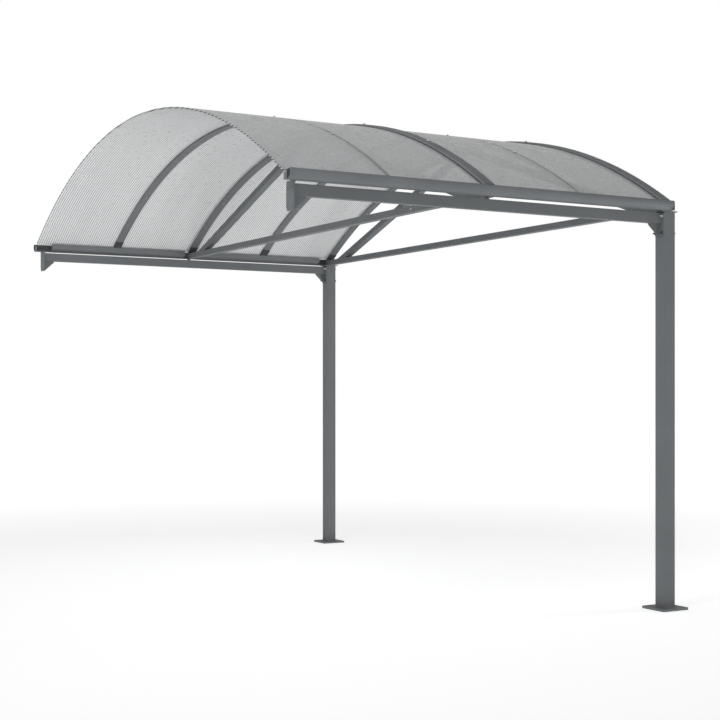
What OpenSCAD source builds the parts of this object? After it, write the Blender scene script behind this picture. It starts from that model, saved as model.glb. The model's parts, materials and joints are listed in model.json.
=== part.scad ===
// Extension bay of a bike shelter: two posts, two beams, two gutters and a barrel roof of
// multiwall sheets on arched ribs. The origin is under the middle of the front post's base
// plate. X runs along the beams towards the posts, Y from front to back, Z up.

/* [Bay] */
// Post axis to the next bay's post axis
bay_length = 2500; // [2000:10:3000]
// Front post axis to back post axis
span = 4125; // [3600:5:4600]
// Ground to the gutters' seat on the head plates
eave_z = 2326; // [2000:1:2800]
// Underside of the ribs at mid-span, above their seat on the gutter lip
rib_rise = 593; // [480:1:700]

/* [Posts] */
// Side of the square post
post_w = 80; // [70:1:100]
// Wall of the post
post_wall = 3; // [2:0.5:5]
// Outer corner radius of the post
post_corner_r = 2; // [1:0.5:9]
// Side of the base plate
base_w = 190; // [170:1:240]
// Thickness of the base plate
base_t = 14; // [6:0.5:18]
// Corner radius of the base plate
base_corner_r = 6; // [3:0.5:15]
// Distance between anchor holes
anchor_pitch = 150; // [130:1:154]
// Diameter of the anchor holes
anchor_d = 14; // [10:0.5:18]
// Length of the head plate along the bay
head_l = 120; // [100:1:160]
// Width of the head plate
head_w = 80; // [60:1:90]
// Thickness of the head plate
head_t = 6; // [4:0.5:12]

/* [Beams] */
// Height of the beam
beam_h = 60; // [50:1:80]
// Width of the beam
beam_w = 40; // [30:1:42]
// Wall of the beam
beam_wall = 3; // [2:0.5:5]
// Open gap between the beam and the gutter
beam_gap = 14; // [12:1:40]
// Length of the spacer under the middle truss
mid_spacer_l = 10; // [6:1:40]
// Width of the spacer under the middle truss
mid_spacer_w = 40; // [34:1:80]
// Length of the spacer at the open end
end_spacer_l = 12; // [8:1:60]

/* [Brackets] */
// Width of the bracket's end plate
plate_w = 80; // [76:1:96]
// Thickness of the end plate
plate_t = 8; // [5:0.5:12]
// Reach of the end plate below the beam
plate_drop = 75; // [65:1:110]
// Height of the chamfer on the plate's lower corners
plate_chamfer = 22; // [10:1:24]
// Length of the gusset along the beam
gusset_l = 82; // [60:1:140]
// Thickness of the gusset
gusset_t = 6; // [4:0.5:10]
// Blunt end of the gusset
gusset_nose = 8; // [4:0.5:16]
// Diameter of the bracket's bolt holes
bolt_d = 9; // [7:0.5:10]
// Distance between the bolt columns
bolt_pitch_y = 56; // [54:0.5:58]
// Distance between the bolt rows
bolt_pitch_z = 98; // [80:1:104]
// Upper bolts below the top of the end plate
bolt_drop = 18; // [14:1:20]

/* [Gutters] */
// Post axis to the outside of the bowed wall
gutter_out = 86; // [84:1:110]
// Post axis to the inside of the inner wall
gutter_in = 30; // [26:1:40]
// Sheet thickness of the gutter
gutter_t = 3; // [2:0.5:4]
// Height of the bowed outer wall
gutter_h = 54; // [46:1:58]
// Radius of the bowed outer wall
bow_r = 36; // [34:1:40]
// Height of the bowed wall's widest point above the seat
bow_z = 34; // [26:1:35]
// Inner edge of the flat floor, outside the post axis
floor_edge = 14; // [10:1:20]
// Height of the fold between the sloping floor and the inner wall
fold_h = 19; // [10:1:24]
// Height of the ribs' seat above the gutter's seat
lip_h = 53; // [46:1:58]
// Width of the lip that carries the ribs
lip_w = 20; // [12:1:26]
// Opening in the inner wall for the middle truss
mid_notch = 130; // [90:1:180]
// Opening in the inner wall at each end
end_notch = 108; // [60:1:160]
// Clearance around a tie's end and under the sheets
clear = 2; // [1:0.5:4]
// Thickness of the end cap and of the stop at the open end
cap_t = 4; // [2:0.5:8]
// Width of the stop at the open end
stop_w = 34; // [24:1:60]
// Height of the stop at the open end
stop_h = 39; // [24:1:42]

/* [Trusses] */
// Width of the tie
tie_w = 50; // [40:1:70]
// Height of the tie
tie_h = 40; // [34:1:60]
// Wall of the tie and the rafters
truss_wall = 3; // [2:0.5:5]
// Trim of the sharp edge of the arch's feet
foot_trim = 1.5; // [1:0.5:4]
// Depth of a rafter, which is as wide as the tie
rafter_h = 40; // [30:1:48]
// Meeting point of the rafters' lower edges, below the arch
rafter_drop = 2; // [1:1:30]
// Foot of the rafter's upper edge, inside the post axis
rafter_foot = 190; // [150:1:230]

/* [Roof] */
// Width of a rib
rib_w = 56; // [54:1:80]
// Depth of a rib
rib_d = 11; // [10:0.5:20]
// Wall of a rib
rib_wall = 2.5; // [1.5:0.5:4]
// Reach of a quarter rib past the inner wall
rib_over = 25; // [20:1:28]
// Thickness of the multiwall sheet
sheet_t = 10; // [8:1:16]
// Gap between the two sheets
sheet_gap = 6; // [6:0.5:12]
// Reach of the sheets past the post axis
sheet_reach = 5; // [2:1:45]
// Width of a joint cover
cover_w = 70; // [50:1:80]
// Height of a joint cover above the sheets
cover_h = 14; // [8:0.5:20]
// Wall of a joint cover
cover_wall = 3; // [2:0.5:4]
// Thickness of the web between the sheets
cover_web = 4; // [2:0.5:5]

/* [Hidden] */
steel = "#696c6e";
steel_dark = "#4d5052";
smoke = "#a9adb0";
big_fn = 720;
small_fn = 48;
// Overshoot of every cut
cut = 1;
// Least radius inside a post's corners
least_r = 0.5;

mid_x = -bay_length / 2;
quarter_xs = [-bay_length * 3 / 4, -bay_length / 4];
tie_top = eave_z + tie_h;
beam_top = eave_z - beam_gap;
beam_bottom = beam_top - beam_h;
bow_y = bow_r - gutter_out;
// The trough hangs below the gutter's seat, outside the head plates and spacers
trough_drop = bow_r - bow_z;
gutter_end = -cap_t - clear;
seat_y = -max(head_w, plate_w, mid_spacer_w) / 2 - clear;
fold_slope = fold_h / (gutter_in + floor_edge);
fold_stretch = sqrt(1 + fold_slope ^ 2);
// The ribs' underside is an arc through both lips and the crown
half_chord = span / 2 - gutter_in;
rib_r = (half_chord ^ 2 + rib_rise ^ 2) / (2 * rib_rise);
rib_top_r = rib_r + rib_d;
sheet_r = rib_top_r + sheet_t;
arc_y = span / 2;
arc_z = eave_z + lip_h + rib_rise - rib_r;
quarter_angle = asin(half_chord / rib_r) + asin(rib_over / rib_r);
sheet_angle = asin((span / 2 + sheet_reach) / sheet_r);
cover_angle = asin(span / 2 / sheet_r);
// A tie ends flush with its arch's blunted feet, in the notch of the gutter
tie_end = arc_y - sqrt(rib_top_r ^ 2 - (tie_top - arc_z) ^ 2) + foot_trim;
notch_y = tie_end - clear;
// The rafters rise from the ties to their meeting point at mid-span
rafter_run = arc_y - rafter_foot;
rafter_rise = arc_z + rib_r - rafter_drop - tie_top;
rafter_slope = atan(rafter_rise / rafter_run) + asin(rafter_h / norm([rafter_run, rafter_rise]));
// Where a rafter's lower edge meets the underside of its arch
rafter_edge = sin(rafter_slope) * rafter_run + cos(rafter_slope) * (tie_top - arc_z) - rafter_h;
rafter_tip_angle = rafter_slope + asin(rafter_edge / rib_r);

// Mirrors a front piece to the back of the bay
module to_back() {
  translate([0, span, 0]) mirror([0, 1, 0]) children();
}

// Extrudes a section, drawn in Y and Z, from one X to another
module along_x(from, to) {
  translate([from, 0, 0]) rotate([90, 0, 90]) linear_extrude(to - from) children();
}

module rounded_square(side, r) {
  flat = side - 2 * r;
  square([side, flat], center = true);
  square([flat, side], center = true);
  for (sx = [-1, 1], sy = [-1, 1])
    translate([sx * flat / 2, sy * flat / 2]) circle(r, $fn = small_fn);
}

// Bolt holes of a bracket in Y and Z
module bolt_holes() {
  top_row = beam_top - bolt_drop;
  for (y = [-1, 1] * bolt_pitch_y / 2, z = [top_row, top_row - bolt_pitch_z])
    translate([y, z]) circle(d = bolt_d, $fn = small_fn);
}

// Slice of the roof's arc between two radii, cut off at an angle to each side of the crown
module arc_band(r_in, r_out, half_angle) {
  reach = 2 * r_out;
  translate([arc_y, arc_z]) intersection() {
    difference() {
      circle(r_out, $fn = big_fn);
      circle(r_in, $fn = big_fn);
    }
    polygon([[0, 0], [-reach * sin(half_angle), reach * cos(half_angle)],
             [reach * sin(half_angle), reach * cos(half_angle)]]);
  }
}

module post() {
  difference() {
    translate([0, 0, base_t]) linear_extrude(eave_z - head_t - base_t) difference() {
      rounded_square(post_w, post_corner_r);
      rounded_square(post_w - 2 * post_wall, max(post_corner_r - post_wall, least_r));
    }
    along_x(-post_w / 2 - cut, 0) bolt_holes();
  }
}

module base_plate() {
  linear_extrude(base_t) difference() {
    rounded_square(base_w, base_corner_r);
    for (sx = [-1, 1], sy = [-1, 1])
      translate([sx, sy] * anchor_pitch / 2) circle(d = anchor_d, $fn = small_fn);
  }
}

module head_plate() {
  translate([-head_l / 2, -head_w / 2, eave_z - head_t]) cube([head_l, head_w, head_t]);
}

module beam() {
  inside = plate_t + post_w / 2;
  along_x(inside - bay_length, -inside) translate([0, beam_bottom + beam_h / 2]) difference() {
    square([beam_w, beam_h], center = true);
    square([beam_w - 2 * beam_wall, beam_h - 2 * beam_wall], center = true);
  }
}

// Bracket with its bolted face at X 0 and the beam on its positive side
module bracket() {
  bottom = beam_bottom - plate_drop;
  half = plate_w / 2;
  toe = half - plate_chamfer / 2;
  difference() {
    along_x(0, plate_t)
      polygon([[-half, beam_top], [-half, bottom + plate_chamfer], [-toe, bottom],
               [toe, bottom], [half, bottom + plate_chamfer], [half, beam_top]]);
    along_x(-cut, plate_t + cut) bolt_holes();
  }
  translate([plate_t, gusset_t / 2, 0]) rotate([90, 0, 0]) linear_extrude(gusset_t)
    polygon([[0, beam_bottom], [0, bottom], [gusset_nose, bottom],
             [gusset_l, beam_bottom - gusset_nose], [gusset_l, beam_bottom]]);
}

module open_end_bracket() {
  translate([post_w / 2 - bay_length, 0, 0]) bracket();
}

module post_bracket() {
  translate([-post_w / 2, 0, 0]) mirror([1, 0, 0]) bracket();
}

module spacer(from, length, width) {
  translate([from, -width / 2, beam_top]) cube([length, width, beam_gap]);
}

module mid_spacer() {
  spacer(mid_x - tie_w / 2, mid_spacer_l, mid_spacer_w);
}

module end_spacer() {
  spacer(post_w / 2 - bay_length, end_spacer_l, plate_w);
}

// Outline of the gutter, thinned by a margin
module gutter_outline(margin, bow_top, wall_top) {
  intersection() {
    translate([bow_y, bow_z]) circle(bow_r - margin, $fn = big_fn);
    translate([-gutter_out, -trough_drop]) square([gutter_out + bow_y, bow_top + trough_drop]);
  }
  polygon([[bow_y, margin - trough_drop], [seat_y - margin, margin - trough_drop],
           [seat_y - margin, margin],
           [margin * (1 - fold_stretch) / fold_slope - floor_edge, margin],
           [gutter_in - margin, fold_h + margin * (fold_stretch - fold_slope)],
           [gutter_in - margin, wall_top], [bow_y, wall_top]]);
}

module gutter_section() {
  difference() {
    translate([0, eave_z]) difference() {
      gutter_outline(0, gutter_h, lip_h + cut);
      gutter_outline(gutter_t, gutter_h + cut, lip_h + 2 * cut);
    }
    // The inner wall ends under the ribs
    difference() {
      translate([bow_y, eave_z + fold_h]) square([gutter_in + cut - bow_y, 2 * lip_h]);
      translate([arc_y, arc_z]) circle(rib_r, $fn = big_fn);
    }
  }
  // The lip follows the underside of the ribs
  intersection() {
    translate([arc_y, arc_z]) difference() {
      circle(rib_r, $fn = big_fn);
      circle(rib_r - gutter_t, $fn = big_fn);
    }
    translate([gutter_in - lip_w, eave_z]) square([lip_w, 2 * lip_h]);
  }
}

// Opening in a gutter's sloping floor, inner wall and lip
module wall_notch(from, to) {
  translate([from, notch_y, eave_z - cut]) cube([to - from, gutter_in + cut - notch_y, 2 * lip_h]);
}

// Stop plate in the open end, under the sheet
module gutter_stop() {
  along_x(-bay_length, cap_t - bay_length)
    translate([notch_y - stop_w, eave_z]) square([stop_w, stop_h]);
}

module gutter() {
  difference() {
    along_x(-bay_length, gutter_end) gutter_section();
    wall_notch(-bay_length - cut, end_notch - bay_length);
    wall_notch(mid_x - mid_notch / 2, mid_x + mid_notch / 2);
    wall_notch(-end_notch, gutter_end + cut);
  }
  gutter_stop();
}

// End cap with a square lower corner, cut out for the sheet's lower edge
module gutter_end_cap() {
  low = eave_z - trough_drop;
  high = gutter_h + trough_drop;
  along_x(gutter_end, gutter_end + cap_t) intersection() {
    translate([0, eave_z]) {
      gutter_outline(0, gutter_h, gutter_h);
      translate([-gutter_out, -trough_drop]) square([gutter_out + bow_y, bow_z + trough_drop]);
    }
    union() {
      translate([-gutter_out, low]) square([gutter_out - sheet_reach - clear, high]);
      intersection() {
        translate([-gutter_out, low]) square([gutter_out + notch_y, high]);
        translate([arc_y, arc_z]) circle(rib_top_r - clear, $fn = big_fn);
      }
    }
  }
}

module tie() {
  length = span - 2 * tie_end;
  translate([-tie_w / 2, tie_end, eave_z]) difference() {
    cube([tie_w, length, tie_h]);
    translate([truss_wall, -cut, truss_wall])
      cube([tie_w - 2 * truss_wall, length + 2 * cut, tie_h - 2 * truss_wall]);
  }
}

// Front rafter, mitred on the tie and under the arch
module rafter() {
  intersection() {
    translate([0, rafter_foot, tie_top]) rotate([rafter_slope, 0, 0])
      translate([-tie_w / 2, -rafter_h, -rafter_h]) difference() {
        cube([tie_w, span / 2, rafter_h]);
        translate([truss_wall, -cut, truss_wall])
          cube([tie_w - 2 * truss_wall, span, rafter_h - 2 * truss_wall]);
      }
    along_x(-tie_w, tie_w) intersection() {
      translate([arc_y, arc_z]) rotate(rafter_tip_angle) circle(rib_r, $fn = big_fn);
      translate([0, tie_top]) square([span / 2, rib_r]);
    }
  }
}

// Hollow arched rib
module rib(half_angle) {
  along_x(-rib_w / 2, rib_w / 2) arc_band(rib_r, rib_top_r, half_angle);
}

module rib_hollow(half_angle) {
  along_x(rib_wall - rib_w / 2, rib_w / 2 - rib_wall)
    arc_band(rib_r + rib_wall, rib_top_r - rib_wall, half_angle);
}

// Rib whose blunted feet stand on the tie
module truss_arch() {
  difference() {
    intersection() {
      rib(quarter_angle + 1);
      translate([-rib_w, tie_end, tie_top]) cube([2 * rib_w, span - 2 * tie_end, rib_r]);
    }
    rib_hollow(quarter_angle + 2);
  }
}

// Rib whose ends lie on the gutter lips
module lip_arch() {
  difference() {
    rib(quarter_angle);
    rib_hollow(quarter_angle + 1);
  }
}

module roof_sheet(from, to) {
  along_x(from, to) arc_band(rib_top_r, sheet_r, sheet_angle);
}

// Channel over the sheets' edges, with a web between them down to the arch
module joint_cover() {
  half = cover_w / 2;
  top_r = sheet_r + cover_h;
  along_x(-half, half) arc_band(top_r - cover_wall, top_r, cover_angle);
  along_x(-half, cover_wall - half) arc_band(sheet_r, top_r, cover_angle);
  along_x(half - cover_wall, half) arc_band(sheet_r, top_r, cover_angle);
  along_x(-cover_web / 2, cover_web / 2) arc_band(rib_top_r, top_r, cover_angle);
}

module front_post() { color(steel) post(); }
module back_post() { color(steel) to_back() post(); }
module front_base_plate() { color(steel) base_plate(); }
module back_base_plate() { color(steel) to_back() base_plate(); }
module front_head_plate() { color(steel) head_plate(); }
module back_head_plate() { color(steel) to_back() head_plate(); }
module front_beam() { color(steel) beam(); }
module back_beam() { color(steel) to_back() beam(); }
module front_open_end_bracket() { color(steel) open_end_bracket(); }
module back_open_end_bracket() { color(steel) to_back() open_end_bracket(); }
module front_post_bracket() { color(steel) post_bracket(); }
module back_post_bracket() { color(steel) to_back() post_bracket(); }
module front_mid_spacer() { color(steel) mid_spacer(); }
module back_mid_spacer() { color(steel) to_back() mid_spacer(); }
module front_end_spacer() { color(steel) end_spacer(); }
module back_end_spacer() { color(steel) to_back() end_spacer(); }
module front_gutter() { color(steel) gutter(); }
module back_gutter() { color(steel) to_back() gutter(); }
module front_gutter_end_cap() { color(steel_dark) gutter_end_cap(); }
module back_gutter_end_cap() { color(steel_dark) to_back() gutter_end_cap(); }
module mid_tie() { color(steel) translate([mid_x, 0, 0]) tie(); }
module end_tie() { color(steel) tie(); }
module mid_front_rafter() { color(steel) translate([mid_x, 0, 0]) rafter(); }
module mid_back_rafter() { color(steel) translate([mid_x, 0, 0]) to_back() rafter(); }
module end_front_rafter() { color(steel) rafter(); }
module end_back_rafter() { color(steel) to_back() rafter(); }
module mid_arch() { color(steel) translate([mid_x, 0, 0]) truss_arch(); }
module end_arch() { color(steel) truss_arch(); }
module left_quarter_arch() { color(steel) translate([quarter_xs[0], 0, 0]) lip_arch(); }
module right_quarter_arch() { color(steel) translate([quarter_xs[1], 0, 0]) lip_arch(); }
module left_roof_sheet() { color(smoke) roof_sheet(-bay_length, mid_x - sheet_gap / 2); }
module right_roof_sheet() { color(smoke) roof_sheet(mid_x + sheet_gap / 2, -sheet_gap / 2); }
module mid_joint_cover() { color(steel) translate([mid_x, 0, 0]) joint_cover(); }
module end_joint_cover() { color(steel) joint_cover(); }

front_post();
back_post();
front_base_plate();
back_base_plate();
front_head_plate();
back_head_plate();
front_beam();
back_beam();
front_open_end_bracket();
back_open_end_bracket();
front_post_bracket();
back_post_bracket();
front_mid_spacer();
back_mid_spacer();
front_end_spacer();
back_end_spacer();
front_gutter();
back_gutter();
front_gutter_end_cap();
back_gutter_end_cap();
mid_tie();
end_tie();
mid_front_rafter();
mid_back_rafter();
end_front_rafter();
end_back_rafter();
mid_arch();
end_arch();
left_quarter_arch();
right_quarter_arch();
left_roof_sheet();
right_roof_sheet();
mid_joint_cover();
end_joint_cover();
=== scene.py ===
import json
import math

import bmesh
import bpy
from mathutils import Matrix, Vector


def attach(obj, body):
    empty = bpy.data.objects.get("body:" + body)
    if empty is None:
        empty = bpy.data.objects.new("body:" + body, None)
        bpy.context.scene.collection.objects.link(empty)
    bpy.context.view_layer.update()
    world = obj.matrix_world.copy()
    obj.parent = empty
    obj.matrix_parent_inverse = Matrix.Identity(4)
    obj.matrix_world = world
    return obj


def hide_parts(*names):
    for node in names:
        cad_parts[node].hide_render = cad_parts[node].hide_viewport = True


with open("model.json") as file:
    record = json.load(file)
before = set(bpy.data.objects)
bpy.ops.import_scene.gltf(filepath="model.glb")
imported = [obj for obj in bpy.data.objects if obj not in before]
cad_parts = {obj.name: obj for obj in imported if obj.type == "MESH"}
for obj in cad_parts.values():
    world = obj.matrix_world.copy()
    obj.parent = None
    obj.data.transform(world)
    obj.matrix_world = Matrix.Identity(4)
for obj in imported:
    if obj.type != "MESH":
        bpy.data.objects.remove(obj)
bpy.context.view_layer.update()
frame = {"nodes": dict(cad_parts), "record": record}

# Sizes and heights of the part, in metres: bay and posts
BAY = 2.5
SPAN = 4.125
EAVE_Z = 2.326
POST_W = 0.08
POST_CORNER_R = 0.002
BASE_T = 0.014
HEAD_T = 0.006
# Beams and their brackets
BEAM_TOP = 2.312
BEAM_H = 0.06
BEAM_W = 0.04
PLATE_T = 0.008
PLATE_DROP = 0.075
GUSSET_L = 0.082
GUSSET_T = 0.006
BOLT_PITCH_Y = 0.056
BOLT_PITCH_Z = 0.098
BOLT_DROP = 0.018
# Ties, ribs, sheets and joint covers
TIE_TOP = 2.366
TIE_W = 0.05
RIB_W = 0.056
RIB_D = 0.011
SHEET_T = 0.01
SHEET_GAP = 0.006
SHEET_REACH = 0.005
COVER_W = 0.07
COVER_H = 0.014
# Feet of the ribs, on the gutters' lips, and the rise of the ribs above them
GUTTER_IN = 0.03
LIP_H = 0.053
RIB_RISE = 0.593

# The roof's arcs, which share one axis, and where its ribs and edges are
HALF_CHORD = SPAN / 2 - GUTTER_IN
RIB_R = (HALF_CHORD ** 2 + RIB_RISE ** 2) / (2 * RIB_RISE)
RIB_TOP_R = RIB_R + RIB_D
SHEET_R = RIB_TOP_R + SHEET_T
ARC_Y = SPAN / 2
ARC_Z = EAVE_Z + LIP_H + RIB_RISE - RIB_R
MID_X = -BAY / 2
QUARTER_XS = (-BAY * 3 / 4, -BAY / 4)
SHEET_ANGLE = math.asin((SPAN / 2 + SHEET_REACH) / SHEET_R)
COVER_ANGLE = math.asin(SPAN / 2 / SHEET_R)


def srgb(r, g, b):
    """Linear colour of an sRGB triple in 0 to 255."""
    def linear(c):
        c = c / 255
        return c / 12.92 if c <= 0.04045 else ((c + 0.055) / 1.055) ** 2.4
    return (linear(r), linear(g), linear(b), 1.0)


def arc_point(x, r, angle):
    """Point of the roof at a radius and an angle from the crown."""
    return Vector((x, ARC_Y + r * math.sin(angle), ARC_Z + r * math.cos(angle)))


def arc_frame(x, r, angle):
    """Matrix at a point of the roof: local Z out of the roof, local Y along the arc to the back."""
    out = Vector((0, math.sin(angle), math.cos(angle)))
    along = Vector((0, math.cos(angle), -math.sin(angle)))
    side = along.cross(out)
    m = Matrix((side, along, out)).transposed().to_4x4()
    m.translation = arc_point(x, r, angle)
    return m


def axis_frame(point, axis):
    """Matrix at a point with local Z along an axis."""
    m = Vector((0, 0, 1)).rotation_difference(Vector(axis)).to_matrix().to_4x4()
    m.translation = Vector(point)
    return m


def add_piece(name, bm, material, smooth_angle=35):
    """Turns a bmesh into a piece of the part, with edges sharp past an angle in degrees."""
    bmesh.ops.recalc_face_normals(bm, faces=bm.faces)
    limit = math.radians(smooth_angle)
    for face in bm.faces:
        face.smooth = True
    for edge in bm.edges:
        edge.smooth = len(edge.link_faces) == 2 and edge.calc_face_angle(math.pi) < limit
    mesh = bpy.data.meshes.new(name)
    bm.to_mesh(mesh)
    bm.free()
    piece = bpy.data.objects.new(name, mesh)
    bpy.context.scene.collection.objects.link(piece)
    mesh.materials.append(material)
    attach(piece, "root")
    return piece


def lathe(bm, matrix, profile, steps=20):
    """Turns a profile of radius and height pairs around local Z."""
    rings = []
    for r, h in profile:
        if r == 0:
            rings.append([bm.verts.new(matrix @ Vector((0, 0, h)))])
            continue
        ring = []
        for i in range(steps):
            a = 2 * math.pi * i / steps
            ring.append(bm.verts.new(matrix @ Vector((r * math.cos(a), r * math.sin(a), h))))
        rings.append(ring)
    for low, high in zip(rings, rings[1:]):
        for i in range(steps):
            j = (i + 1) % steps
            if len(low) == 1:
                bm.faces.new((low[0], high[j], high[i]))
            elif len(high) == 1:
                bm.faces.new((low[i], low[j], high[0]))
            else:
                bm.faces.new((low[i], low[j], high[j], high[i]))


def skin_rings(bm, rings):
    """Closed solid through rings that all have the same number of vertices."""
    count = len(rings[0])
    for low, high in zip(rings, rings[1:]):
        for i in range(count):
            j = (i + 1) % count
            bm.faces.new((low[i], low[j], high[j], high[i]))
    bm.faces.new(rings[-1])
    bm.faces.new(list(reversed(rings[0])))


# How far a hexagon's chamfer runs inwards, as a share of its height
CHAMFER_RUN = 1.6


def hexagon(bm, matrix, across, bottom, top, chamfer):
    """Hexagonal head or nut with its upper corners turned off."""
    r = across / math.sqrt(3)
    rings = []
    for radius, h in ((r, bottom), (r, top - chamfer), (r - chamfer * CHAMFER_RUN, top)):
        ring = []
        for i in range(6):
            a = math.pi / 3 * i
            ring.append(bm.verts.new(matrix @ Vector((radius * math.cos(a), radius * math.sin(a), h))))
        rings.append(ring)
    skin_rings(bm, rings)


def sweep_arc(bm, x, r, start, end, section, steps):
    """Sweeps a closed section, given by X and radial offsets, along the roof's arc."""
    rings = []
    for step in range(steps + 1):
        angle = start + (end - start) * step / steps
        rings.append([bm.verts.new(arc_point(x + a, r + b, angle)) for a, b in section])
    skin_rings(bm, rings)


NOISE_ROUGHNESS = 0.55


class Nodes:
    """Short way to build a material's node tree."""

    def __init__(self, name):
        self.material = bpy.data.materials.new(name)
        self.material.use_nodes = True
        self.tree = self.material.node_tree
        self.tree.nodes.clear()
        self.out = self.add("ShaderNodeOutputMaterial")
        self.coord = self.add("ShaderNodeTexCoord").outputs["Object"]

    def add(self, kind, **values):
        """New node with its settings."""
        node = self.tree.nodes.new(kind)
        for key, value in values.items():
            setattr(node, key, value)
        return node

    def link(self, source, target):
        self.tree.links.new(source, target)

    def noise(self, scale, detail, vector=None):
        """Noise over the object's coordinates, or over another vector."""
        node = self.add("ShaderNodeTexNoise")
        node.inputs["Scale"].default_value = scale
        node.inputs["Detail"].default_value = detail
        node.inputs["Roughness"].default_value = NOISE_ROUGHNESS
        self.link(vector or self.coord, node.inputs["Vector"])
        return node.outputs["Fac"]

    def stretched(self, scale):
        """The object's coordinates, scaled on each axis."""
        node = self.add("ShaderNodeMapping")
        node.inputs["Scale"].default_value = scale
        self.link(self.coord, node.inputs["Vector"])
        return node.outputs["Vector"]

    def spread(self, value, low, high, from_low=0.3, from_high=0.7):
        """A value mapped from one range to another, and held at its ends."""
        node = self.add("ShaderNodeMapRange")
        node.inputs["From Min"].default_value = from_low
        node.inputs["From Max"].default_value = from_high
        node.inputs["To Min"].default_value = low
        node.inputs["To Max"].default_value = high
        self.link(value, node.inputs["Value"])
        return node.outputs["Result"]

    def ramp(self, value, stops):
        """Colour ramp with stops of position and colour."""
        node = self.add("ShaderNodeValToRGB")
        elements = node.color_ramp.elements
        while len(elements) < len(stops):
            elements.new(0.5)
        for element, (position, colour) in zip(elements, stops):
            element.position = position
            element.color = colour
        self.link(value, node.inputs["Fac"])
        return node.outputs["Color"]

    def mix(self, factor, a, b, blend="MIX"):
        """Mix of two colours."""
        node = self.add("ShaderNodeMix", data_type="RGBA", blend_type=blend)
        if isinstance(factor, float):
            node.inputs["Factor"].default_value = factor
        else:
            self.link(factor, node.inputs["Factor"])
        sockets = [s for s in node.inputs if s.type == "RGBA"]
        for socket, value in zip(sockets, (a, b)):
            if isinstance(value, tuple):
                socket.default_value = value
            else:
                self.link(value, socket)
        return [s for s in node.outputs if s.type == "RGBA"][0]

    def bump(self, value, strength, distance):
        """Normal bumped by a value."""
        node = self.add("ShaderNodeBump")
        node.inputs["Strength"].default_value = strength
        node.inputs["Distance"].default_value = distance
        self.link(value, node.inputs["Height"])
        return node.outputs["Normal"]

    def surface(self, **values):
        """Principled surface, whose inputs are named with underscores."""
        shader = self.add("ShaderNodeBsdfPrincipled")
        for key, value in values.items():
            socket = shader.inputs[key.replace("_", " ")]
            if isinstance(value, (int, float, tuple)):
                socket.default_value = value
            else:
                self.link(value, socket)
        self.link(shader.outputs["BSDF"], self.out.inputs["Surface"])


# How far the coat's specks darken and lighten it, and how much they count
SPECK_DARK = (0.82, 0.82, 0.82, 1)
SPECK_LIGHT = (1.08, 1.08, 1.08, 1)
SPECK_SHARE = 0.55


def powder_coat(name, colour, darker, lighter, rough_low, rough_high, grain):
    """Powder coat on metal: a grainy skin, faint clouds and fine specks."""
    n = Nodes(name)
    clouds = n.noise(3.5, detail=5.0)
    specks = n.noise(900.0, detail=2.0)
    tone = n.ramp(clouds, ((0.3, darker), (0.55, colour), (0.75, lighter)))
    fleck = n.ramp(specks, ((0.35, SPECK_DARK), (0.7, SPECK_LIGHT)))
    base = n.mix(SPECK_SHARE, tone, fleck, "MULTIPLY")
    peel = n.noise(grain, detail=3.0)
    normal = n.bump(peel, strength=0.25, distance=0.0004)
    n.surface(
        Base_Color=base,
        Metallic=0.0,
        Roughness=n.spread(n.noise(14.0, detail=5.0), rough_low, rough_high),
        Specular_IOR_Level=0.12,
        Normal=normal,
    )
    return n.material


STEEL = powder_coat(
    "frame_steel", srgb(105, 108, 110), srgb(101, 104, 106), srgb(109, 112, 114),
    rough_low=0.5, rough_high=0.66, grain=1400.0)
GUTTER = powder_coat(
    "gutter_metal", srgb(110, 113, 115), srgb(105, 108, 110), srgb(114, 117, 119),
    rough_low=0.46, rough_high=0.6, grain=1100.0)
COVER = powder_coat(
    "cover_metal", srgb(131, 134, 136), srgb(126, 129, 131), srgb(135, 138, 140),
    rough_low=0.56, rough_high=0.7, grain=1200.0)


def make_cap_plastic():
    """Dark moulded plastic with a fine grain."""
    n = Nodes("cap_plastic")
    grain = n.noise(700.0, detail=3.0)
    tone = n.ramp(n.noise(18.0, detail=4.0), ((0.3, srgb(66, 69, 71)), (0.7, srgb(76, 79, 81))))
    n.surface(
        Base_Color=tone,
        Roughness=n.spread(grain, 0.5, 0.66),
        Normal=n.bump(grain, strength=0.3, distance=0.0003),
    )
    return n.material


# Pitch of the sheets' flutes
FLUTE = 0.0164
# Pitch of the painted shade marks on a sheet's cut edge and the height of one of them
DASH_PITCH = 0.01662
DASH_Z = 2.8754


def stripes(n, axis, pitch, middle, low, high):
    """Bands across an axis: 1 around each multiple of the pitch from a middle, and 0 between them."""
    axes = n.add("ShaderNodeSeparateXYZ")
    n.link(n.coord, axes.inputs["Vector"])
    turn = n.add("ShaderNodeMath", operation="MULTIPLY_ADD")
    n.link(axes.outputs[axis], turn.inputs[0])
    turn.inputs[1].default_value = 2 * math.pi / pitch
    turn.inputs[2].default_value = -2 * math.pi * middle / pitch
    wave = n.add("ShaderNodeMath", operation="COSINE")
    n.link(turn.outputs["Value"], wave.inputs[0])
    return n.spread(wave.outputs["Value"], 0.0, 1.0, low, high)


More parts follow.
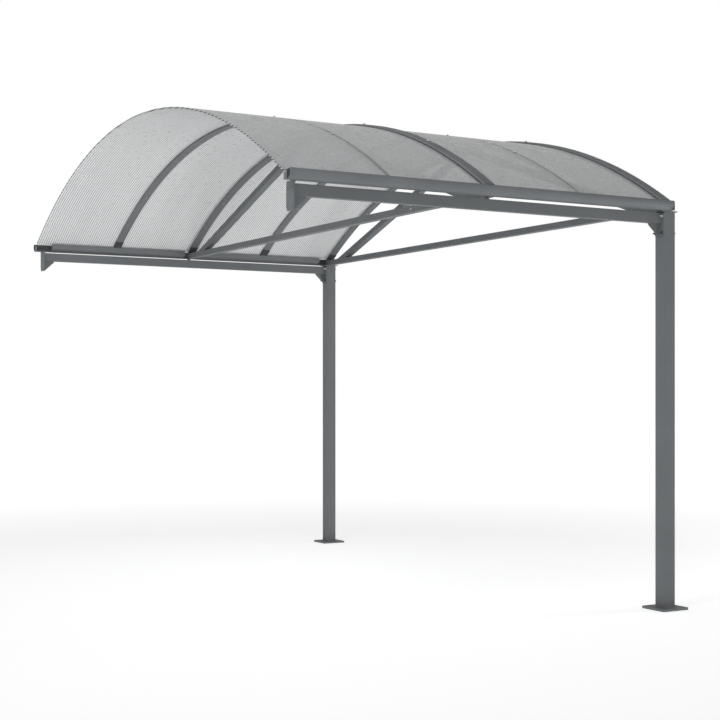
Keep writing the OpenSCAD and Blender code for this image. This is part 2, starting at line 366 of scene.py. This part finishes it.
def make_sheet_plastic(name, dark, light, web_shade_tone, alpha):
    """Smoky multiwall polycarbonate that lets part of the light through, with painted shade of the webs in
    bands along its flutes.
    """
    n = Nodes(name)
    drift = n.noise(1.0, detail=4.0, vector=n.stretched((9.0, 0.6, 0.6)))
    tone = n.ramp(drift, ((0.3, dark), (0.7, light)))
    # Bands of painted shade along the webs
    webs = stripes(n, "X", FLUTE, -BAY, 0.25, 0.6)
    ripple = n.noise(1.0, detail=3.0, vector=n.stretched((60.0, 2.0, 2.0)))
    n.surface(
        Base_Color=n.mix(webs, tone, web_shade_tone),
        Roughness=n.spread(n.noise(30.0, detail=4.0), 0.24, 0.38),
        Alpha=alpha,
        IOR=1.58,
        Specular_IOR_Level=0.3,
        Normal=n.bump(ripple, strength=0.15, distance=0.0006),
    )
    return n.material


def make_sheet_edge():
    """Cut edge of a sheet, dark and pale by turns: the dark dashes are painted shade in the open flutes."""
    n = Nodes("sheet_edge")
    flute_shade = stripes(n, "Z", DASH_PITCH, DASH_Z, -0.4, 0.4)
    grain = n.noise(700.0, detail=3.0)
    pale = n.ramp(grain, ((0.3, srgb(158, 160, 162)), (0.7, srgb(172, 174, 176))))
    dark = n.ramp(grain, ((0.3, srgb(58, 60, 62)), (0.7, srgb(68, 70, 72))))
    n.surface(Base_Color=n.mix(flute_shade, pale, dark), Roughness=n.spread(grain, 0.4, 0.6))
    return n.material


def make_fastener(name, dark, light, metallic):
    """Plated or painted fastener with fine spangle, or a darker copy as painted shade."""
    n = Nodes(name)
    spangle = n.noise(420.0, detail=3.0)
    tone = n.ramp(spangle, ((0.3, dark), (0.7, light)))
    n.surface(
        Base_Color=tone,
        Metallic=metallic,
        Roughness=n.spread(spangle, 0.32, 0.5),
        Normal=n.bump(n.noise(1500.0, detail=2.0), strength=0.2, distance=0.0002),
    )
    return n.material


def make_rubber(name, dark, light):
    """Dull rubber, or near-black painted shade."""
    n = Nodes(name)
    grain = n.noise(900.0, detail=3.0)
    tone = n.ramp(n.noise(25.0, detail=4.0), ((0.3, dark), (0.7, light)))
    n.surface(
        Base_Color=tone,
        Roughness=n.spread(grain, 0.62, 0.8),
        Normal=n.bump(grain, strength=0.3, distance=0.0003),
    )
    return n.material


CAP = make_cap_plastic()
UPPER_SKIN = make_sheet_plastic(
    "roof_sheet", srgb(187, 188, 189), srgb(195, 196, 197), srgb(154, 156, 157), alpha=0.7)
# Lower skin of the same plastic, painted paler as painted light coming through the sheet
LOWER_SKIN = make_sheet_plastic(
    "sheet_underside", srgb(236, 238, 239), srgb(244, 245, 246), srgb(165, 167, 168), alpha=0.6)
WEB = make_sheet_plastic(
    "sheet_webs", srgb(165, 167, 168), srgb(175, 177, 178), srgb(165, 167, 168), alpha=0.5)
# Darker strips at the webs' feet, as painted shade of the webs seen from below
WEB_FOOT_SHADE = make_sheet_plastic(
    "sheet_web_foot_shade", srgb(118, 120, 122), srgb(128, 130, 132), srgb(120, 122, 124), alpha=0.5)
# Smoky see-through strip that paints the quarter ribs' shade on the upper skin
RIB_SHADE = make_sheet_plastic(
    "rib_painted_shade", srgb(64, 66, 67), srgb(72, 74, 75), srgb(64, 66, 67), alpha=0.35)
EDGE = make_sheet_edge()
ZINC = make_fastener("zinc_fastener", srgb(176, 178, 180), srgb(210, 212, 213), metallic=0.5)
NUT = make_fastener("painted_nut", srgb(128, 130, 132), srgb(142, 144, 146), metallic=0.0)
SHADED_BOLT = make_fastener("painted_shade_bolt", srgb(52, 54, 56), srgb(64, 66, 68), metallic=0.3)
RUBBER = make_rubber("gasket_rubber", srgb(44, 45, 46), srgb(56, 57, 58))
# Near-black stand-in for the shade inside the gutters' open ends
GUTTER_SHADE = make_rubber("painted_gutter_shade", srgb(18, 18, 19), srgb(26, 26, 27))

SLOT_MATERIALS = {
    "frame_steel": STEEL,
    "gutter_metal": GUTTER,
    "cap_plastic": CAP,
    "roof_sheet": UPPER_SKIN,
    "cover_metal": COVER,
}
for subpart in frame["record"]["subparts"]:
    node = frame["nodes"][subpart["node"]]
    node.data.materials.clear()
    node.data.materials.append(SLOT_MATERIALS[subpart["material_slot"]])

# How far the skins lie inside the sheets' solids, and the thickness of the strip on the cut edge
SKIN_INSET = 0.0002
EDGE_T = 0.0012
# Half width of the painted shade strip at a web's foot, and its height above the lower skin
FOOT_HALF = 0.002
FOOT_LIFT = 0.0003
# Steps of the sweeps along the whole roof
ARC_STEPS = 110


def add_arc_strip(bm, x_from, x_to, r_from, r_to, reach=SHEET_ANGLE):
    """Strip along the roof between two lines of constant X and radius."""
    last = None
    for step in range(ARC_STEPS + 1):
        angle = reach * (2 * step / ARC_STEPS - 1)
        points = (arc_point(x_from, r_from, angle), arc_point(x_to, r_to, angle))
        pair = [bm.verts.new(point) for point in points]
        if last:
            bm.faces.new((last[0], last[1], pair[1], pair[0]))
        last = pair


def make_sheet(side, x_from, x_to):
    """Twin-wall sheet: a smoky upper skin and a lower one painted pale as light coming through the sheet,
    joined by a web at each flute, with painted shade along the webs' feet.
    """
    low_r = RIB_TOP_R + SKIN_INSET
    high_r = SHEET_R - SKIN_INSET
    upper = bmesh.new()
    lower = bmesh.new()
    webs = bmesh.new()
    feet = bmesh.new()
    add_arc_strip(upper, x_from, x_to, high_r, high_r)
    add_arc_strip(lower, x_from, x_to, low_r, low_r)
    count = round((x_to - x_from) / FLUTE)
    for i in range(count + 1):
        x = x_from + (x_to - x_from) * i / count
        add_arc_strip(webs, x, x, low_r, high_r)
        if 0 < i < count:
            add_arc_strip(feet, x - FOOT_HALF, x + FOOT_HALF, low_r + FOOT_LIFT, low_r + FOOT_LIFT)
    corners = ((x_from, low_r), (x_to, low_r), (x_to, high_r), (x_from, high_r))
    for end in (-SHEET_ANGLE, SHEET_ANGLE):
        webs.faces.new([webs.verts.new(arc_point(x, r, end)) for x, r in corners])
    piece = add_piece(side + "_twinwall_sheet", upper, UPPER_SKIN)
    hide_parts(side + "_roof_sheet")
    add_piece(side + "_sheet_underside", lower, LOWER_SKIN)
    add_piece(side + "_sheet_webs", webs, WEB)
    add_piece(side + "_sheet_web_foot_shade", feet, WEB_FOOT_SHADE)


make_sheet("left", EDGE_T - BAY, MID_X - SHEET_GAP / 2)
make_sheet("right", MID_X + SHEET_GAP / 2, -SHEET_GAP / 2)

EDGE_TOP = SHEET_T - SKIN_INSET
EDGE_SECTION = ((0.0, SKIN_INSET), (EDGE_T, SKIN_INSET), (EDGE_T, EDGE_TOP), (0.0, EDGE_TOP))
edge_strip = bmesh.new()
sweep_arc(edge_strip, -BAY, RIB_TOP_R, -SHEET_ANGLE, SHEET_ANGLE, EDGE_SECTION, ARC_STEPS)
add_piece("open_end_sheet_edge", edge_strip, EDGE)


def mirrored(half):
    """Closes a half profile, from the middle out, with its mirror image."""
    return tuple((-x, h) for x, h in reversed(half)) + tuple(half)


# Half sections of a joint cover's outside and inside, from the middle out
COVER_OUTSIDE = (
    (0.004, 0.0131), (0.029, 0.0131), (0.0317, 0.0127),
    (0.0328, 0.0117), (0.0345, 0.0016), (COVER_W / 2, 0.0003))
COVER_INSIDE = (
    (0.004, 0.0112), (0.028, 0.0111), (0.0294, 0.0107),
    (0.0302, 0.0098), (0.0316, 0.0018), (0.032, 0.0003))
PLUG_T = 0.004
# Section of the darker strip on top of a cover, as painted shade on the cover's upward face
COVER_TOP_SHADE_SECTION = ((-0.0295, 0.0125), (0.0295, 0.0125), (0.0292, 0.01374), (-0.0292, 0.01374))


def make_cover(node, x):
    """Cover over the sheets' edges with a darker strip on top as painted shade, closed by a plug at each
    eave.
    """
    shell = bmesh.new()
    section = mirrored(COVER_OUTSIDE) + tuple(reversed(mirrored(COVER_INSIDE)))
    sweep_arc(shell, x, SHEET_R, -COVER_ANGLE, COVER_ANGLE, section, ARC_STEPS)
    piece = add_piece(node + "_dome", shell, COVER, smooth_angle=50)
    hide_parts(node)
    strip = bmesh.new()
    sweep_arc(strip, x, SHEET_R, -COVER_ANGLE, COVER_ANGLE, COVER_TOP_SHADE_SECTION, ARC_STEPS)
    add_piece(node + "_strip", strip, STEEL)
    plugs = bmesh.new()
    for side in (-1, 1):
        end = side * COVER_ANGLE
        sweep_arc(plugs, x, SHEET_R, end - side * PLUG_T / SHEET_R, end, mirrored(COVER_INSIDE), 1)
    add_piece(node + "_plugs", plugs, CAP)


make_cover("mid_joint_cover", MID_X)
make_cover("end_joint_cover", 0.0)

# Dark sleeves on the ribs' ends, as painted shade where the ribs meet the gutters and ties: length,
# thickness and steps
END_SHADE_L = 0.07
END_SHADE_T = 0.0016
END_SHADE_STEPS = 6
# Play between a painted shade sleeve and its rib, and how far a sleeve's rim stays under the sheet
END_SHADE_PLAY = 0.0002
END_SHADE_RIM_DROP = 0.0004


def make_rib_end_shade(name, x, end_angle):
    """Dark rubber sleeves that clasp a rib at both ends, above the gutter's lip or the tie, as painted
    shade on the ribs' ends.
    """
    bm = bmesh.new()
    half = RIB_W / 2 + END_SHADE_PLAY
    wide = half + END_SHADE_T
    rim = RIB_D - END_SHADE_RIM_DROP
    section = ((-wide, rim), (-wide, -END_SHADE_T), (wide, -END_SHADE_T), (wide, rim),
               (half, rim), (half, -END_SHADE_PLAY), (-half, -END_SHADE_PLAY), (-half, rim))
    for side in (-1, 1):
        sweep_arc(bm, x, RIB_R, side * end_angle, side * (end_angle - END_SHADE_L / RIB_R), section, END_SHADE_STEPS)
    add_piece(name + "_end_shade", bm, RUBBER)


# Gaps between a painted shade sleeve and the gutter's lip or the tie, and the angles at which the sleeves
# end
LIP_GAP = 0.001
TIE_GAP = 0.004
LIP_ANGLE = math.asin((HALF_CHORD - LIP_GAP) / RIB_R)
TIE_ANGLE = math.acos((TIE_TOP + TIE_GAP - ARC_Z) / RIB_R)
# Half width of the painted rib shade along a quarter rib, and its radius, just above the upper skin
RIB_SHADE_HALF = 0.013
RIB_SHADE_R = SHEET_R - SKIN_INSET / 2


def make_rib_painted_shades():
    """Smoky strip on the sheets' upper skins, along the quarter ribs, as painted shade of the ribs under
    the sheet.
    """
    bm = bmesh.new()
    for x in QUARTER_XS:
        add_arc_strip(bm, x - RIB_SHADE_HALF, x + RIB_SHADE_HALF, RIB_SHADE_R, RIB_SHADE_R, LIP_ANGLE)
    add_piece("quarter_rib_tapes", bm, RIB_SHADE)


make_rib_painted_shades()
make_rib_end_shade("left_quarter_rib", QUARTER_XS[0], LIP_ANGLE)
make_rib_end_shade("right_quarter_rib", QUARTER_XS[1], LIP_ANGLE)
make_rib_end_shade("mid_rib", MID_X, TIE_ANGLE)
make_rib_end_shade("end_rib", 0.0, TIE_ANGLE)


ROOF_SEAL_T = 0.0012
# Profiles of turned parts, as pairs of radius and height
SEAL_PROFILE = (
    (0.0, 0.0), (0.0088, 0.0), (0.0092, ROOF_SEAL_T / 2), (0.0088, ROOF_SEAL_T), (0.0, ROOF_SEAL_T))
WASHER_PROFILE = (
    (0.0, 0.0), (0.0095, 0.0), (0.0102, 0.0004), (0.0102, 0.0014),
    (0.0095, 0.0019), (0.0055, 0.0024), (0.0, 0.0024))
SCREW_TIP = ((0.0, 0.0), (0.0028, 0.0), (0.0028, 0.007), (0.0022, 0.008), (0.0, 0.008))
# Hexagons of the roof screws' heads and nuts: width across flats, bottom, top and chamfer
SCREW_HEX = (0.01, 0.0022, 0.0066, 0.0006)
RIB_NUT_HEX = (0.012, 0.0022, 0.0078, 0.0007)
# Height at which a screw's tip comes out of its nut
SCREW_TIP_LIFT = 0.0074
TIP_STEPS = 12


def add_roof_screw(metal, seal, nuts, x, head_r, angle):
    """Screw with a sealing washer above the roof, and its painted nut under the rib."""
    top = arc_frame(x, head_r, angle)
    lathe(seal, top, SEAL_PROFILE)
    raised = top @ Matrix.Translation((0, 0, ROOF_SEAL_T))
    lathe(metal, raised, WASHER_PROFILE)
    hexagon(metal, raised, *SCREW_HEX)
    below = arc_frame(x, RIB_R, angle) @ Matrix.Rotation(math.pi, 4, "X")
    lathe(nuts, below, WASHER_PROFILE)
    hexagon(nuts, below, *RIB_NUT_HEX)
    lathe(nuts, below @ Matrix.Translation((0, 0, SCREW_TIP_LIFT)), SCREW_TIP, TIP_STEPS)


def make_roof_screws(name, x, head_r, angles):
    """Row of roof screws along a rib, at angles in degrees from the crown."""
    metal = bmesh.new()
    seal = bmesh.new()
    nuts = bmesh.new()
    for degrees in angles:
        add_roof_screw(metal, seal, nuts, x, head_r, math.radians(degrees))
    add_piece(name + "_screws", metal, ZINC)
    add_piece(name + "_seals", seal, RUBBER)
    add_piece(name + "_nuts", nuts, NUT)


# Places of the roof screws, in degrees from the crown
QUARTER_SCREWS = (-22.2, -10.6, 0.0, 10.6, 22.2)
COVER_SCREWS = (-22.2, -10.6, 10.6, 22.2)
make_roof_screws("left_quarter_rib", QUARTER_XS[0], SHEET_R, QUARTER_SCREWS)
make_roof_screws("right_quarter_rib", QUARTER_XS[1], SHEET_R, QUARTER_SCREWS)
COVER_TOP_R = SHEET_R + COVER_H
make_roof_screws("mid_cover", MID_X, COVER_TOP_R, COVER_SCREWS)
make_roof_screws("end_cover", 0.0, COVER_TOP_R, COVER_SCREWS)


GASKET_H = 0.0022
GASKET_SECTION = ((-0.0045, 0.0), (0.0045, 0.0), (0.0036, GASKET_H), (-0.0036, GASKET_H))
# Distance from a cover's edge to the middle of its gasket
GASKET_OFF = 0.0046


def make_gaskets(name, sides):
    """Rubber strips on the sheets, beside the edges of a joint cover."""
    bm = bmesh.new()
    for x in sides:
        sweep_arc(bm, x, SHEET_R, -COVER_ANGLE, COVER_ANGLE, GASKET_SECTION, ARC_STEPS)
    add_piece(name, bm, RUBBER)


GASKET_X = COVER_W / 2 + GASKET_OFF
make_gaskets("mid_cover_gaskets", (MID_X - GASKET_X, MID_X + GASKET_X))
make_gaskets("end_cover_gasket", (-GASKET_X,))


# A gutter's reach out from the post's axis, and its bow's radius and middle above the eave
GUTTER_OUT = 0.086
BOW_R = 0.036
BOW_Z = 0.034
# Painted shade in the gutters' open ends: thickness, distance behind the cut and inside the bow, and inner
# edge
GUTTER_SHADE_T = 0.012
GUTTER_SHADE_BACK = 0.002
GUTTER_SHADE_INSET = 0.0032
GUTTER_SHADE_IN = 0.042
GUTTER_SHADE_TOP = 0.0495
GUTTER_SHADE_BOTTOM = 0.0015
# Stretch of the bow that the painted shade fills, in degrees up from its outermost line
GUTTER_SHADE_FROM = -84
GUTTER_SHADE_STEP = 6.3
GUTTER_SHADE_POINTS = 19


def make_gutter_end_shade():
    """Near-black piece in the bow of each gutter's open end, just behind the cut, as painted shade inside
    the gutter.
    """
    bm = bmesh.new()
    inner = BOW_R - GUTTER_SHADE_INSET
    for side, middle in ((-1, 0.0), (1, SPAN)):
        outline = []
        for step in range(GUTTER_SHADE_POINTS):
            angle = math.radians(GUTTER_SHADE_FROM + step * GUTTER_SHADE_STEP)
            y = GUTTER_OUT - BOW_R + inner * math.cos(angle)
            outline.append((middle + side * y, EAVE_Z + BOW_Z + inner * math.sin(angle)))
        for y, z in ((GUTTER_SHADE_IN, GUTTER_SHADE_TOP), (GUTTER_SHADE_IN, GUTTER_SHADE_BOTTOM)):
            outline.append((middle + side * y, EAVE_Z + z))
        rings = []
        for x in (GUTTER_SHADE_BACK - BAY, GUTTER_SHADE_BACK + GUTTER_SHADE_T - BAY):
            rings.append([bm.verts.new((x, y, z)) for y, z in outline])
        skin_rings(bm, rings)
    add_piece("gutter_end_painted_shade", bm, GUTTER_SHADE)


make_gutter_end_shade()


# Sizes of the weld beads at the posts' feet and elsewhere
FOOT_WELD = 0.006
THIN_WELD = 0.004
# A bead's section in a corner, as shares of its size
BEAD_SECTION = ((0.0, 0.0), (1.0, 0.0), (0.72, 0.34), (0.34, 0.72), (0.0, 1.0))
# A bead's ripples: length, swell, slow drift and its rate, and the share left at both ends
RIPPLE_L = 0.0028
RIPPLE_SWELL = 0.13
RIPPLE_DRIFT = 0.05
DRIFT_RATE = 1.7
BEAD_END = 0.55
LEAST_RIPPLES = 4
# Distance from the lower edge of a bracket's plate to the bead on it
BEAD_STOP = 0.004
UP = (0, 0, 1)
DOWN = (0, 0, -1)


def add_weld(bm, start, end, axis_a, axis_b, size):
    """Rippled fillet weld from one point to another, in the corner of two axes."""
    start = Vector(start)
    end = Vector(end)
    axis_a = Vector(axis_a)
    axis_b = Vector(axis_b)
    count = max(LEAST_RIPPLES, round((end - start).length / RIPPLE_L))
    rings = []
    for i in range(count + 1):
        swell = 1.0 + RIPPLE_SWELL * (i % 2) - RIPPLE_DRIFT * math.sin(i * DRIFT_RATE)
        if i in (0, count):
            swell = BEAD_END
        point = start.lerp(end, i / count)
        offsets = [(axis_a * (size * a) + axis_b * (size * b)) * swell for a, b in BEAD_SECTION]
        rings.append([bm.verts.new(point + offset) for offset in offsets])
    skin_rings(bm, rings)


def add_post_welds(bm, y):
    """Beads at the foot and the head of a post."""
    half = POST_W / 2
    run = half - POST_CORNER_R
    head_z = EAVE_Z - HEAD_T
    for side in (-1, 1):
        x = side * half
        flank = y + side * half
        add_weld(bm, (x, y - run, BASE_T), (x, y + run, BASE_T), (side, 0, 0), UP, FOOT_WELD)
        add_weld(bm, (-run, flank, BASE_T), (run, flank, BASE_T), (0, side, 0), UP, FOOT_WELD)
        add_weld(bm, (x, y - run, head_z), (x, y + run, head_z), (side, 0, 0), DOWN, THIN_WELD)


def add_bracket_welds(bm, y, face_x, side):
    """Beads of a bracket whose plate's inner face is at face_x, with the beam on that side."""
    bottom = BEAM_TOP - BEAM_H
    reach = face_x + side * GUSSET_L
    low = bottom - PLATE_DROP + BEAD_STOP
    inward = (side, 0, 0)
    for edge in (-1, 1):
        out = (0, edge, 0)
        flank = y + edge * GUSSET_T / 2
        add_weld(bm, (face_x, flank, low), (face_x, flank, bottom), inward, out, THIN_WELD)
        add_weld(bm, (face_x, flank, bottom), (reach, flank, bottom), out, DOWN, THIN_WELD)
        cheek = y + edge * BEAM_W / 2
        add_weld(bm, (face_x, cheek, bottom), (face_x, cheek, BEAM_TOP), inward, out, THIN_WELD)


welds = bmesh.new()
for post_y in (0.0, SPAN):
    add_post_welds(welds, post_y)
    add_bracket_welds(welds, post_y, POST_W / 2 + PLATE_T - BAY, 1)
    add_bracket_welds(welds, post_y, -POST_W / 2 - PLATE_T, -1)
add_piece("frame_welds", welds, STEEL)


# Profiles of the posts' bolts and of the rivet on the tie, as pairs of radius and height
PLATE_WASHER = (
    (0.0, 0.0), (0.0085, 0.0), (0.0088, 0.0003), (0.0088, 0.0015), (0.0085, 0.0018), (0.0, 0.0018))
BOLT_TIP = ((0.0, 0.0), (0.004, 0.0), (0.004, 0.011), (0.0033, 0.0122), (0.0, 0.0122))
BOLT_HEAD = (
    (0.0, 0.0), (0.008, 0.0), (0.0083, 0.002), (0.0074, 0.0055),
    (0.005, 0.0082), (0.0026, 0.0092), (0.0, 0.0095))
RIVET_HEAD = (
    (0.0, 0.0), (0.0055, 0.0), (0.0055, 0.0008), (0.0045, 0.002), (0.0025, 0.0028), (0.0, 0.003))
# A post bolt's nut, as width across flats, bottom, top and chamfer, and the heights of its tip and head
BOLT_NUT_HEX = (0.013, 0.0016, 0.0084, 0.0008)
BOLT_TIP_LIFT = 0.0082
BOLT_HEAD_LIFT = 0.0016
BOLT_TIP_STEPS = 16


def make_post_bolts(name, y, z, material):
    """Row of bolts of the bracket on a post: nuts on the bracket, heads on the post's far side."""
    bm = bmesh.new()
    nut_x = -POST_W / 2 - PLATE_T
    for side in (-1, 1):
        bolt_y = y + side * BOLT_PITCH_Y / 2
        at_nut = axis_frame((nut_x, bolt_y, z), (-1, 0, 0))
        lathe(bm, at_nut, PLATE_WASHER)
        hexagon(bm, at_nut, *BOLT_NUT_HEX)
        lathe(bm, at_nut @ Matrix.Translation((0, 0, BOLT_TIP_LIFT)), BOLT_TIP, BOLT_TIP_STEPS)
        at_head = axis_frame((POST_W / 2, bolt_y, z), (1, 0, 0))
        lathe(bm, at_head, PLATE_WASHER)
        lathe(bm, at_head @ Matrix.Translation((0, 0, BOLT_HEAD_LIFT)), BOLT_HEAD)
    add_piece(name, bm, material)


BOLT_TOP = BEAM_TOP - BOLT_DROP
# The lower bolts of each post take a darker copy of the bolt material, as painted shade
for place, bolt_y in (("front", 0.0), ("back", SPAN)):
    make_post_bolts(place + "_upper_bolts", bolt_y, BOLT_TOP, ZINC)
    make_post_bolts(place + "_lower_bolts", bolt_y, BOLT_TOP - BOLT_PITCH_Z, SHADED_BOLT)

# Rivet on the middle tie: its place along the tie and its depth under the tie's top
TIE_BOLT_Y = 0.765
TIE_BOLT_DROP = 0.02
tie_bolt = bmesh.new()
tie_bolt_frame = axis_frame((MID_X - TIE_W / 2, TIE_BOLT_Y, TIE_TOP - TIE_BOLT_DROP), (-1, 0, 0))
lathe(tie_bolt, tie_bolt_frame, RIVET_HEAD)
add_piece("mid_tie_bolt", tie_bolt, ZINC)


FLOOR_HALF = 40.0
FLOOR_TONE = (0.8, 0.8, 0.8, 1)
FLOOR_MIDDLE = (-1.5, 1.5, 0.0)
# Glow of the floor on the object, its glow as seen near the object and far from it, and those distances
FLOOR_GLOW = 0.72
SEEN_NEAR = 0.63
SEEN_FAR = 0.8
NEAR_R = 4.0
FAR_R = 8.0


def make_floor():
    """Pale floor that looks white to the camera, apart from the object's shadow."""
    n = Nodes("studio_floor")
    path = n.add("ShaderNodeLightPath")
    diffuse = n.add("ShaderNodeBsdfDiffuse")
    diffuse.inputs["Color"].default_value = FLOOR_TONE
    glow = n.add("ShaderNodeEmission")
    apart = n.add("ShaderNodeVectorMath", operation="DISTANCE")
    n.link(n.coord, apart.inputs[0])
    apart.inputs[1].default_value = FLOOR_MIDDLE
    level = n.add("ShaderNodeMix", data_type="FLOAT")
    n.link(path.outputs["Is Camera Ray"], level.inputs[0])
    level.inputs[2].default_value = FLOOR_GLOW
    n.link(n.spread(apart.outputs["Value"], SEEN_NEAR, SEEN_FAR, NEAR_R, FAR_R), level.inputs[3])
    n.link(level.outputs[0], glow.inputs["Strength"])
    both = n.add("ShaderNodeAddShader")
    n.link(diffuse.outputs["BSDF"], both.inputs[0])
    n.link(glow.outputs["Emission"], both.inputs[1])
    n.link(both.outputs["Shader"], n.out.inputs["Surface"])
    bm = bmesh.new()
    corners = ((-1, -1), (1, -1), (1, 1), (-1, 1))
    bm.faces.new([bm.verts.new((x * FLOOR_HALF, y * FLOOR_HALF, 0.0)) for x, y in corners])
    mesh = bpy.data.meshes.new("studio_floor")
    bm.to_mesh(mesh)
    bm.free()
    floor = bpy.data.objects.new("studio_floor", mesh)
    bpy.context.scene.collection.objects.link(floor)
    mesh.materials.append(n.material)


make_floor()

# Sky's light at the horizon, its loss towards the zenith and towards the post end, and its least light
SKY_LEVEL = 1.3
SKY_FALL = 1.75
SKY_SIDE = 0.15
SKY_LEAST = 0.06


def make_world():
    """Soft sky, brightest low at the open end and dimmer overhead; white where it is seen."""
    world = bpy.data.worlds.new("studio")
    bpy.context.scene.world = world
    world.use_nodes = True
    tree = world.node_tree
    tree.nodes.clear()

    def math_node(operation, first, second):
        """Result of a calculation with two values."""
        node = tree.nodes.new("ShaderNodeMath")
        node.operation = operation
        for socket, value in zip(node.inputs, (first, second)):
            if isinstance(value, float):
                socket.default_value = value
            else:
                tree.links.new(value, socket)
        return node.outputs["Value"]

    coord = tree.nodes.new("ShaderNodeTexCoord")
    axes = tree.nodes.new("ShaderNodeSeparateXYZ")
    tree.links.new(coord.outputs["Generated"], axes.inputs["Vector"])
    fall = math_node("MULTIPLY", axes.outputs["Z"], -SKY_FALL)
    side = math_node("MULTIPLY", axes.outputs["X"], -SKY_SIDE)
    level = math_node("ADD", math_node("ADD", fall, side), SKY_LEVEL)
    level = math_node("MAXIMUM", level, SKY_LEAST)
    path = tree.nodes.new("ShaderNodeLightPath")
    seen = math_node("MAXIMUM", path.outputs["Is Camera Ray"], path.outputs["Is Glossy Ray"])
    seen = math_node("MAXIMUM", seen, path.outputs["Is Transmission Ray"])
    hidden = math_node("SUBTRACT", 1.0, seen)
    strength = math_node("ADD", math_node("MULTIPLY", level, hidden), seen)
    back = tree.nodes.new("ShaderNodeBackground")
    back.inputs["Color"].default_value = (1, 1, 1, 1)
    tree.links.new(strength, back.inputs["Strength"])
    out = tree.nodes.new("ShaderNodeOutputWorld")
    tree.links.new(back.outputs["Background"], out.inputs["Surface"])


make_world()


def add_lamp(name, place, target, size, power):
    """Soft square lamp that shines at a point."""
    data = bpy.data.lights.new(name, "AREA")
    data.size = size
    data.energy = power
    lamp = bpy.data.objects.new(name, data)
    lamp.location = place
    lamp.rotation_euler = (Vector(target) - Vector(place)).to_track_quat("-Z", "Y").to_euler()
    lamp.visible_camera = False
    bpy.context.scene.collection.objects.link(lamp)


add_lamp("side_lamp", place=(4.6, -0.8, 0.9), target=(-1.4, 3.0, 2.6), size=1.2, power=110.0)
add_lamp("roof_lamp", place=(-4.5, -1.5, 5.0), target=(-2.0, 1.0, 2.7), size=1.2, power=52.0)

# Level camera of the photo: sensor and lens in millimetres, upward shift, place and turn in degrees
SENSOR_W = 36
LENS = 70.08
SHIFT_UP = 0.0402
CAMERA_PLACE = (-5.6204, -6.2394, 1.2875)
CAMERA_TURN = -29.732
camera_data = bpy.data.cameras.new("camera")
camera_data.sensor_width = SENSOR_W
camera_data.lens = LENS
camera_data.shift_y = SHIFT_UP
camera = bpy.data.objects.new("camera", camera_data)
camera.location = CAMERA_PLACE
camera.rotation_euler = (math.radians(90), 0, math.radians(CAMERA_TURN))
bpy.context.scene.collection.objects.link(camera)
bpy.context.scene.camera = camera
bpy.context.scene.view_settings.view_transform = "Standard"
